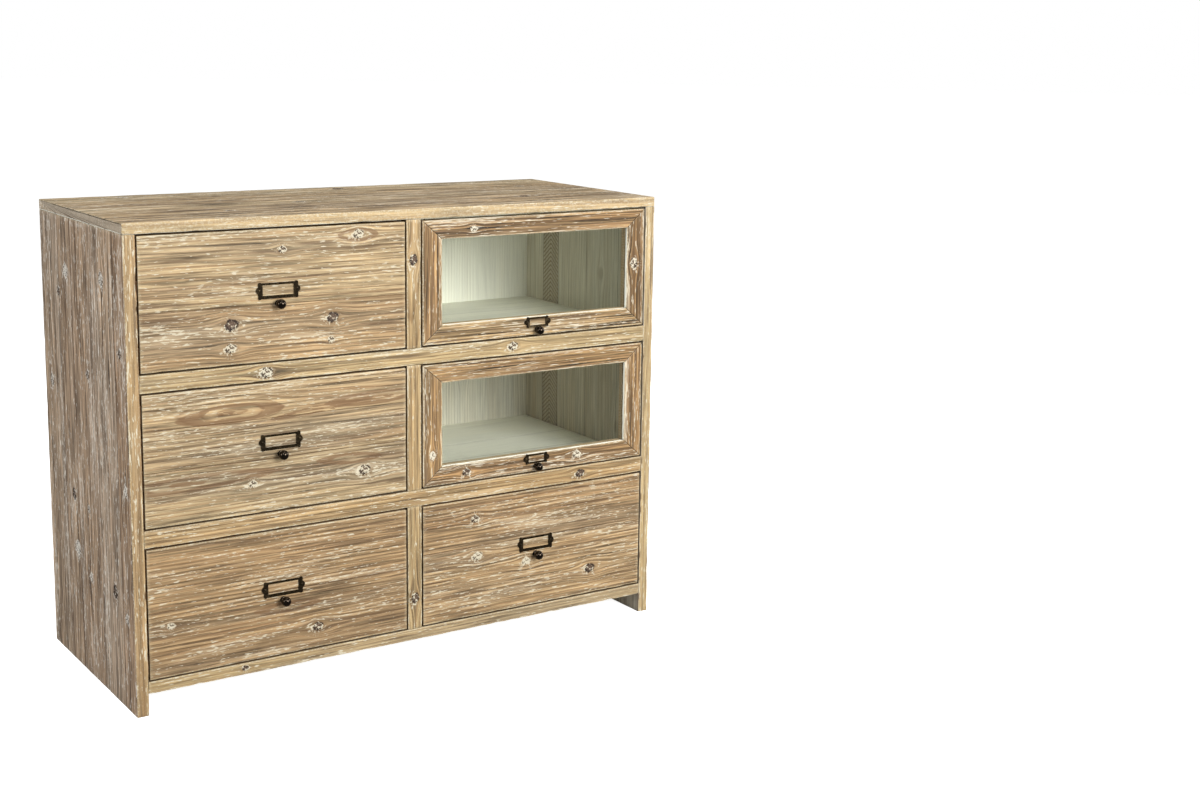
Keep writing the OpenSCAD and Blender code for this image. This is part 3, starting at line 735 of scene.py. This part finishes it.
def makeSide(side, inside):
    board = Board("side_" + side, **sideBoards[side], pitch=9 * mm, cathedral=0.5)
    shape = sweepBoard(board, across=3.3 * mm, along=7 * mm, dirtBeside=0.45)
    local, marks = board.local(shape["points"]), shape["marks"]
    height, back = local.T[:2]
    start, end = (seam * mm for seam in sideBoards["right"]["seams"][2:])  # rough-sawn between them
    # less of the worn-edge lightening and painted edge highlight along the front edge
    marks["wear"][back < 0.5 * mm] *= 0.25
    # painted shade on the inner face just behind the front, inside the gaps
    marks["seam"] = np.maximum(marks["seam"], paintedShadeBehindFront(board, local))
    marks["sawn"] = ((back > start) & (back < end)).astype(float)
    marks["saw"] = height + abs(back - (start + end) / 2) * 0.8
    # the paint is darker on the rough-sawn strip, and darker and browner below lowBay
    marks["bare"] = 0.46 + 0.3 * marks["sawn"] + 0.25 * (height < lowBay)
    makePiece(side + "SidePanel", [shape], ["sidePine", inside, "framePine"], "case",
              ["side_" + side], {backFace: 1, nearEdge: 2})


makeSide("left", "rawPine")
makeSide("right", "paintedPine")

topBoard = {
    "axes": ("x", "y", "-z"), "seed": 31, "seams": (88, 176, 262, 371),
    "knots": ((150, 440, 8), (600, 430, 9), (420, 215, 7), (870, 130, 8), (240, 120, 6), (980, 330, 7)),
}


def makeTop():
    board = Board("top_board", **topBoard, pitch=9 * mm, cathedral=0.5)
    shape = sweepBoard(board, across=3.3 * mm, along=7.5 * mm, radius=1.8 * mm, dirtBeside=0.8)
    marks = shape["marks"]
    # painted shade on the underside just behind the front, inside the gaps
    marks["seam"] = np.maximum(marks["seam"], paintedShadeBehindFront(board, board.local(shape["points"])))
    makePiece("topBoard", [shape], ["topPine", "framePine", "paintedPine", "sidePine"], "case",
              ["top_board"], {nearEdge: 1, backFace: 2, boardEnds: 3})


makeTop()

frameBoards = {
    "bottom_board": {"seed": 41, "knots": ((180, 12, 4),)},
    "rail_lower": {"seed": 42, "knots": ((905, 16, 7),)},
    "rail_upper": {"seed": 43, "knots": ((232, 15, 8, 0.7), (745, 17, 7, 0.6))},
}
for node, spec in frameBoards.items():
    board = Board(node, ("x", "z", "y"), **spec, pitch=7 * mm)
    shape = sweepBoard(board, along=5.5 * mm, shaded=True)
    makePiece(node.replace("_", ""), [shape], ["framePine"], "case", [node])
print("case boards swept")

# The stile stands between the columns in three lengths, one in each row
stileBoards = {"seed": 51, "knots": (((62, 15, 7, 0.3),), (), ((168, 14, 7, 0.15),)),
               "between": ("bottom_board", "rail_lower", "rail_upper", "top_board")}


def makeStiles():
    shapes, crossing = [], stileBoards["between"]
    for row, knots in enumerate(stileBoards["knots"]):
        board = Board("centre_stiles", ("z", "x", "y"), stileBoards["seed"] + row, knots=knots,
                      pitch=6.5 * mm)
        start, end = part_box(crossing[row])[1].z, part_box(crossing[row + 1])[0].z
        board.keep(0, start - board.corner.z, end - start)
        shapes.append(sweepBoard(board, along=5.5 * mm, shaded=True))
    makePiece("centreStiles", shapes, ["framePine"], "case", ["centre_stiles"])


makeStiles()

innerBoards = {
    "centre_partition": {"axes": ("z", "y", "x"), "seed": 61, "seams": (110, 240, 340)},
    "shelf_upper": {"axes": ("x", "y", "-z"), "seed": 62, "seams": (128, 290)},
    "shelf_lower": {"axes": ("x", "y", "-z"), "seed": 63, "seams": (150, 265)},
}
for node, spec in innerBoards.items():
    shape = sweepBoard(Board(node, **spec, pitch=6 * mm), across=4 * mm, along=9 * mm)
    # the shelves' paint is lighter: painted light on the compartment floors
    shape["marks"]["bare"] = np.full(len(shape["points"]), -0.2 * ("shelf" in node))
    makePiece(node.replace("_", ""), [shape], ["paintedPine"], "case", [node])

backBoards = {"count": 4, "gap": 0.4 * mm, "chamfer": 1.5 * mm, "seed": 70,
              "tongue": {"wide": 10 * mm, "thick": 1 / 3, "seed": 80}}  # as thick as a third of the boards


# A loose tongue that closes a gap, whose middle is at a place across the back
def backTongue(number, middle):
    spec = backBoards["tongue"]
    tongue = Board("back_boards", ("z", "x", "y"), spec["seed"] + number)
    tongue.keep(1, middle - spec["wide"] / 2, spec["wide"])
    tongue.keep(2, tongue.size[2] * spec["thick"], tongue.size[2] * spec["thick"])
    return sweepBoard(tongue, across=4 * mm, along=20 * mm, radius=0.4 * mm)


def makeBack():
    low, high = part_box("back_boards")
    count, gap = backBoards["count"], backBoards["gap"]
    wide = (high.x - low.x - (count - 1) * gap) / count
    shapes = []
    for number in range(count):
        seed = backBoards["seed"] + number
        dice = np.random.default_rng(seed)
        knots = [(dice.uniform(80, 740), dice.uniform(30, 235), dice.uniform(5, 8)) for knot in range(2)]
        board = Board("back_boards", ("z", "x", "y"), seed, knots=knots, pitch=6 * mm, cathedral=0.6)
        board.keep(1, number * (wide + gap), wide)
        board.planks[0]["pith"] %= wide
        shape = sweepBoard(board, across=4 * mm, along=9 * mm, radius=backBoards["chamfer"])
        across = board.local(shape["points"])[:, 1]
        # the upper back boards' paint is a little lighter, painted light on the compartment wall; below
        # lowBay it is darker and browner
        shape["marks"]["bare"] = 0.5 * (shape["points"][:, 2] < lowBay) - 0.15
        shape["marks"]["seam"] = 0.9 * (np.minimum(across, wide - across) < 0.9 * mm)
        shapes.append(shape)
        if number:
            shape = backTongue(number, number * (wide + gap) - gap / 2)
            shape["marks"]["bare"] = np.full(len(shape["points"]), 0.45)
            shape["marks"]["seam"] = np.full(len(shape["points"]), 0.9)
            shapes.append(shape)
    makePiece("backBoards", shapes, ["paintedPine", "rawPine"], "case", ["back_boards"],
              dict.fromkeys((farEdge, backFace, nearEdge, boardEnds), 1))


makeBack()
print("inside and back made")


# Drawer fronts: a swept plate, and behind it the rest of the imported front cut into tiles

frontPlate = 5 * mm  # it ends within the lap in front of the dovetails
drawerFronts = {
    "top_left": {"seed": 81, "seams": (102,), "planks": {0: {"tone": 1.0}, 1: {"tone": -0.3}},
                 "knots": ((263, 199, 5, 0.6), (412, 219, 7, 0.75), (165, 71, 9, 0.1), (163, 29, 7, 0.7),
                           (359, 70, 8, 0.1), (355, 29, 4, 0.7)),
                 "swirls": ((412, 218, 38, 11, 0.0),)},
    "middle_left": {"seed": 82, "seams": (98, 172), "knots": ((199, 54, 5, 0.7), (420, 52, 8, 0.6)),
                    "swirls": ((160, 187, 95, 16, 0.03), (445, 188, 95, 12, 0.02), (325, 178, 85, 6, 0.1),
                               (85, 71, 155, 13, 0.02), (390, 78, 62, 10, -0.03)),
                    "planks": {2: {"pith": 189 * mm, "depth": 27 * mm, "eye": (162 * mm, 75 * mm, 24 * mm)}}},
    "bottom_left": {"seed": 83, "seams": (121,), "planks": {0: {"tone": 1.9}, 1: {"tone": 1.8}},
                    "knots": ((40, 92, 4), (322, 40, 7)), "swirls": ((262, 89, 62, 9, 0.0),)},
    "bottom_right": {"seed": 84, "seams": (140,), "planks": {0: {"tone": 1.0}, 1: {"tone": 1.7}},
                     "knots": ((115, 196, 6), (120, 120, 7), (232, 92, 6), (385, 52, 8))},
}
for drawer, spec in drawerFronts.items():
    node = "drawer_" + drawer + "_front"
    board = Board(node, ("x", "z", "y"), **spec)
    plate = sweepBoard(board, thick=frontPlate, across=2.6 * mm, along=5.5 * mm, shaded=True)
    makePiece("drawerFront-" + drawer, [plate, tiledCopy(board, node, frontPlate)], ["frontPine"],
              "drawer_" + drawer, [node])
print("drawer fronts made")


# Flap members: a rebated section with mitred ends, measured across from the outer edge

flapFrame = {
    "lip": 7 * mm, "lap": 7 * mm, "seed": 101,
    "axes": {"rail_top": ("x", "-z", "y"), "rail_bottom": ("x", "z", "y"),
             "stile_left": ("z", "x", "y"), "stile_right": ("z", "-x", "y")},
    "tones": {"upper_stile_right": 2.7, "upper_rail_bottom": -0.9, "upper_rail_top": 0.9,
              "lower_rail_bottom": 0.7, "upper_stile_left": 1.0, "lower_stile_right": 1.2},
    "knots": {"upper_stile_right": ((128, 24, 7),), "upper_rail_top": ((110, 20, 4),),
              "lower_rail_bottom": ((95, 18, 6), (350, 22, 6)), "lower_stile_left": ((60, 20, 5),)},
}


def makeFlapMember(flap, member, seed):
    name = flap + "_" + member
    board = Board("flap_" + name, flapFrame["axes"][member], seed, knots=flapFrame["knots"].get(name, ()),
                  planks={0: {"tone": flapFrame["tones"].get(name, 0.3)}}, pitch=7.5 * mm, cathedral=0)
    wide, thick = board.size[1:]
    low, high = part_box("flap_" + flap + ("_stile_left" if "rail" in member else "_rail_top"))
    mitre = min((high - low).x, (high - low).z) / wide  # its slope, from the width of the member it meets
    lap, lip = flapFrame["lap"], flapFrame["lip"]
    outline = [(0, 0), (wide, 0), (wide, lip), (wide - lap, lip), (wide - lap, thick), (0, thick)]
    shape = sweepBoard(board, outline, mitre=mitre, across=2.4 * mm, along=4.5 * mm, radius=1.2 * mm)
    across, depth = board.local(shape["points"]).T[1:]
    # painted shade on the outer edge inside the gap round the flap
    darkening = gapShade(depth) * (across < 0.6 * mm)
    shape["marks"]["seam"] = np.maximum(shape["marks"]["seam"], darkening)
    makePiece("flapFrame-" + name, [shape], ["flapPine", "paintedPine"], "flap_" + flap,
              ["flap_" + name], {farEdge: 1})


for number, flap in enumerate(flaps):
    for order, member in enumerate(flapFrame["axes"]):
        makeFlapMember(flap, member, flapFrame["seed"] + 10 * number + order)
print("flap frames made")


# Fittings

# A shape turned about the line towards the viewer, from (reach, radius) pairs from the wood outwards
def turned(profile, centre, turns=40):
    angles = np.linspace(0, 2 * math.pi, turns, endpoint=False)
    points = [(centre.x + radius * math.cos(a), centre.y - reach, centre.z + radius * math.sin(a))
              for reach, radius in profile for a in angles]
    faces = [(row * turns + i, row * turns + (i + 1) % turns, (row + 1) * turns + (i + 1) % turns,
              (row + 1) * turns + i) for row in range(len(profile) - 1) for i in range(turns)]
    last = (len(profile) - 1) * turns
    faces += [tuple(range(turns - 1, -1, -1)), tuple(range(last, last + turns))]
    return {"points": np.array(points), "faces": faces, "sides": np.zeros(len(faces)), "marks": {}}


def arc(reach, radius, size, start, end, steps):  # round (reach, radius), between two angles in degrees
    angles = [math.radians(angle) for angle in np.linspace(start, end, steps)]
    return [(reach + size * math.sin(angle), radius + size * math.cos(angle)) for angle in angles]


knobShape = {"rose": 0.36, "roseThick": 0.09, "neck": 0.17, "bead": 0.035}  # shares of the ball


def makeKnob(owner):
    low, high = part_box(owner + "_knob")
    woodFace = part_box(owner + ("_front" if "drawer" in owner else "_rail_bottom"))[0].y
    ball = high.z - low.z
    rose, roseThick, neck, bead = (share * ball for share in knobShape.values())
    neckAngle = -math.degrees(math.acos(neck / (ball / 2)))
    profile = [(0, rose * 0.2), (0, rose)]
    profile += arc(roseThick - bead, rose - bead, bead, 0, 90, 5)
    profile += [(roseThick, rose * 0.72), (roseThick * 1.7, neck * 1.25), (roseThick * 2.2, neck)]
    profile += arc(woodFace - low.y - ball / 2, 0, ball / 2, neckAngle, 88, 22)
    centre = Vector(((low.x + high.x) / 2, woodFace, (low.z + high.z) / 2))
    makePiece("knob-" + owner, [turned(profile, centre)], ["knobBronze"], owner,
              [owner + "_knob"])


screwHead = {"diameter": 5 * mm, "height": 1.25 * mm, "slot": 0.8 * mm, "slotDepth": 0.7 * mm, "seed": 5}
headInputs = {"points": "Geometry", "diameter": "Float", "height": "Float", "slot": "Float",
              "slotDepth": "Float", "facing": "Vector", "seed": "Int", "finish": "Material"}


# A tree that puts one head on each point: a flattened ball, cut by a slot if it has one
def headTree(name, slotted):
    tree = bpy.data.node_groups.new(name, "GeometryNodeTree")
    for key, kind in headInputs.items():
        tree.interface.new_socket(key, in_out="INPUT", socket_type="NodeSocket" + kind)
    tree.interface.new_socket("heads", in_out="OUTPUT", socket_type="NodeSocketGeometry")

    def add(kind, settings=None, sockets=None):
        return addNode(tree, kind, settings, sockets)

    def product(first, second):
        return add("ShaderNodeMath", {"operation": "MULTIPLY"}, {0: first, 1: second}).outputs[0]

    given = add("NodeGroupInput").outputs
    ball = add("GeometryNodeMeshUVSphere", None, {"Segments": 24, "Rings": 12, "Radius": 1.0})
    radius = product(given["diameter"], 0.5)
    size = add("ShaderNodeCombineXYZ", None, {0: radius, 1: radius, 2: given["height"]})
    head = add("GeometryNodeTransform", None, {"Geometry": ball.outputs["Mesh"], "Scale": size.outputs[0]})
    if slotted:
        depth, long = product(given["slotDepth"], 2.0), product(given["diameter"], 1.4)
        size = add("ShaderNodeCombineXYZ", None, {0: given["slot"], 1: long, 2: depth})
        cube = add("GeometryNodeMeshCube", None, {"Size": size.outputs[0]}).outputs["Mesh"]
        lift = add("ShaderNodeCombineXYZ", None, {2: given["height"]})
        moved = add("GeometryNodeTransform", None, {"Geometry": cube, "Translation": lift.outputs[0]})
        head = add("GeometryNodeMeshBoolean", {"operation": "DIFFERENCE"},
                   {"Mesh 1": head.outputs[0], "Mesh 2": moved.outputs[0]})
    aim = add("FunctionNodeAlignRotationToVector", {"axis": "Z"}, {"Vector": given["facing"]})
    spots = add("GeometryNodeInstanceOnPoints", None,
                {"Points": given["points"], "Instance": head.outputs[0], "Rotation": aim.outputs[0]})
    turn = add("FunctionNodeRandomValue", {"data_type": "FLOAT"}, {"Seed": given["seed"], 3: math.pi})
    twist = add("ShaderNodeCombineXYZ", None, {2: turn.outputs[1]})
    spun = add("GeometryNodeRotateInstances", None,
               {"Instances": spots.outputs[0], "Rotation": twist.outputs[0]})
    real = add("GeometryNodeRealizeInstances", None, {"Geometry": spun.outputs[0]})
    dressed = add("GeometryNodeSetMaterial", None, {"Geometry": real.outputs[0], "Material": given["finish"]})
    add("NodeGroupOutput", None, {0: dressed.outputs[0]})
    return tree


def putHeads(name, tree, points, inputs, finishKey, body):
    mesh = bpy.data.meshes.new(name + "-points")
    mesh.from_pydata(points, [], [])
    carrier = addObject(name + "-points", mesh)
    grow = carrier.modifiers.new("heads", "NODES")
    grow.node_group = tree
    values = {**inputs, "finish": finish[finishKey]}
    for item in tree.interface.items_tree:
        if item.in_out == "INPUT" and item.name in values:
            grow[item.identifier] = values[item.name]
    evaluated = carrier.evaluated_get(bpy.context.evaluated_depsgraph_get())
    heads = bpy.data.meshes.new_from_object(evaluated)
    bpy.data.objects.remove(carrier)
    settle(addObject(name, heads), body)


screwTree = headTree("slottedHeads", True)
nailTree = headTree("nailHeads", False)


def looseParts(grid):  # the corners of each part of a mesh that hangs together
    left = set(grid.verts)
    while left:
        part, queue = set(), [left.pop()]
        while queue:
            vert = queue.pop()
            part.add(vert)
            for edge in vert.link_edges:
                other = edge.other_vert(vert)
                if other in left:
                    left.remove(other)
                    queue.append(other)
        yield part


holderShape = {"bevel": 0.015, "segments": 3}  # the bevel is a share of the holder's height


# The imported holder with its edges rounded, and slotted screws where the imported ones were
def makeHolder(owner, seed):
    node = owner + "_label_holder"
    low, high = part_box(node)
    grid, drop, points = mergedGrid(node), [], set()
    for part in looseParts(grid):
        places = [vert.co for vert in part]
        span = max(place.x for place in places) - min(place.x for place in places)
        if span < 0.5 * (high.x - low.x):  # a screw
            centre = sum(places, Vector()) / len(places)
            points.add((round(centre.x, 5), low.y + screwHead["height"] * 1.02, round(centre.z, 5)))
            drop += part
    bmesh.ops.delete(grid, geom=drop, context="VERTS")
    mesh = bpy.data.meshes.new(node)
    grid.to_mesh(mesh)
    grid.free()
    mesh.materials.append(finish["darkBronze"])
    mesh.shade_smooth()
    piece = addObject("labelHolder-" + owner, mesh)
    soften = piece.modifiers.new("soft edges", "BEVEL")
    soften.width, soften.segments = holderShape["bevel"] * (high.z - low.z), holderShape["segments"]
    soften.limit_method, soften.angle_limit = "ANGLE", math.radians(35)
    piece.modifiers.new("even shading", "WEIGHTED_NORMAL").keep_sharp = True
    settle(piece, owner, [node])
    inputs = {**screwHead, "facing": (0, -1, 0), "seed": seed}
    putHeads("screws-" + owner, screwTree, sorted(points), inputs, "darkBronze", owner)


owners = ["drawer_" + drawer for drawer in drawers] + ["flap_" + flap for flap in flaps]
for number, owner in enumerate(owners):
    makeKnob(owner)
    makeHolder(owner, screwHead["seed"] + number)
print("fittings made")


# Nails through the back boards into the bottom board and the shelves

nailHead = {"diameter": 7 * mm, "height": 0.7 * mm, "fromEdge": 22 * mm, "seed": 3, "facing": (0, 1, 0)}


def makeNails():
    low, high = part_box("back_boards")
    wide = (high.x - low.x + backBoards["gap"]) / backBoards["count"]
    boxes = [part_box(node) for node in ("bottom_board", "shelf_lower", "shelf_upper")]
    levels = [(box[0].z + box[1].z) / 2 for box in boxes]
    points = []
    for number in range(backBoards["count"]):
        for part in (nailHead["fromEdge"], wide - nailHead["fromEdge"]):
            x = low.x + number * wide + part
            points += [(x, high.y - 0.3 * mm, level) for level in (levels[:1] if x < 0 else levels)]
    putHeads("backNails", nailTree, points, nailHead, "nailIron", "case")


makeNails()


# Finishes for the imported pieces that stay

def dress(node, key):
    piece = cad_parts[node]
    piece.data.materials.clear()
    piece.data.materials.append(finish[key])


for drawer in drawers:
    for part, key in (("side_left", "boxAlongY"), ("side_right", "boxAlongY"), ("back", "boxAlongX"),
                      ("bottom", "bottomBoard")):
        dress("drawer_" + drawer + "_" + part, key)
for flap in flaps:
    dress("flap_" + flap + "_glass", "windowGlass")
    dress("flap_" + flap + "_beads", "boxAlongX")
    dress("flap_" + flap + "_pivots", "pinSteel")
dress("drawer_runners", "boxAlongY")
dress("floor_guides", "boxAlongY")
dress("flap_stops", "boxAlongX")
print("packed pieces dressed")


# Floor and lights

studio = {
    "floor": (0.93, 0.93, 0.93), "floorGlow": 0.84, "bounce": (0.4, 0.4, 0.4), "world": 0.2, "reach": 40,
    "target": (0, 0, 0.5),
    "lights": {
        "front": {"at": (0.97, -4.15, 2.2), "size": (2.0, 1.8), "power": 205},
        "low": {"at": (0.8, -4.4, 1.3), "size": (2.2, 0.5), "power": 62, "glossy": False},
        "key": {"at": (-1.9, -2.6, 3.4), "size": (1.7, 1.7), "power": 50},
        "overhead": {"at": (0.3, 0.1, 3.5), "size": (2.2, 2.0), "power": 33},
        "left": {"at": (-3.4, -0.3, 1.5), "size": (1.4, 1.4), "power": 42},
        "right": {"at": (3.4, -0.9, 1.7), "size": (1.8, 1.8), "power": 45},
    },
}


def stagePiece(name, mesh, material, shownTo):
    piece = addObject(name, mesh)
    mesh.materials.append(material)
    for ray in ("camera", "diffuse", "glossy", "transmission", "volume_scatter", "shadow"):
        setattr(piece, "visible_" + ray, ray in shownTo)


def floorMesh(name, level):
    mesh = bpy.data.meshes.new(name)
    reach = studio["reach"]
    corners = [(-reach, -reach, level), (reach, -reach, level), (reach, reach, level), (-reach, reach, level)]
    mesh.from_pydata(corners, [], [(0, 1, 2, 3)])
    return mesh


def makeBackground():
    black, white = (0.0, 0.0, 0.0), (1.0, 1.0, 1.0)
    shown = Recipe("floor").principled({
        "Base Color": studio["floor"], "Roughness": 0.9,
        "Emission Color": white, "Emission Strength": studio["floorGlow"]})
    bounce = Recipe("floorBounce").principled({"Base Color": studio["bounce"], "Roughness": 0.9})
    sheer = Recipe("backdrop").principled({
        "Base Color": black, "Specular IOR Level": 0.0, "Emission Color": white, "Emission Strength": 1.0})
    stagePiece("floor", floorMesh("floor", 0), shown, ("camera",))
    stagePiece("floorBounce", floorMesh("floorBounce", -0.5 * mm), bounce, ("diffuse", "shadow"))
    dome = bmesh.new()
    bmesh.ops.create_icosphere(dome, subdivisions=3, radius=studio["reach"] * 0.95)
    mesh = bpy.data.meshes.new("backdrop")
    dome.to_mesh(mesh)
    dome.free()
    stagePiece("backdrop", mesh, sheer, ("camera",))


def makeLights():
    world = bpy.data.worlds.new("studio")
    world.use_nodes = True
    sky = world.node_tree.nodes["Background"]
    sky.inputs["Color"].default_value = (1, 1, 1, 1)
    sky.inputs["Strength"].default_value = studio["world"]
    bpy.context.scene.world = world
    for key, spec in studio["lights"].items():
        data = bpy.data.lights.new(key, "AREA")
        data.shape, (data.size, data.size_y) = "RECTANGLE", spec["size"]
        data.energy = spec["power"]
        lamp = addObject(key, data)
        lamp.visible_glossy = spec.get("glossy", True)
        lamp.location = spec["at"]
        aim = Vector(studio["target"]) - lamp.location
        lamp.rotation_euler = aim.to_track_quat("-Z", "Y").to_euler()


makeBackground()
makeLights()
bpy.context.scene.view_settings.view_transform = "Standard"
print("studio lit")
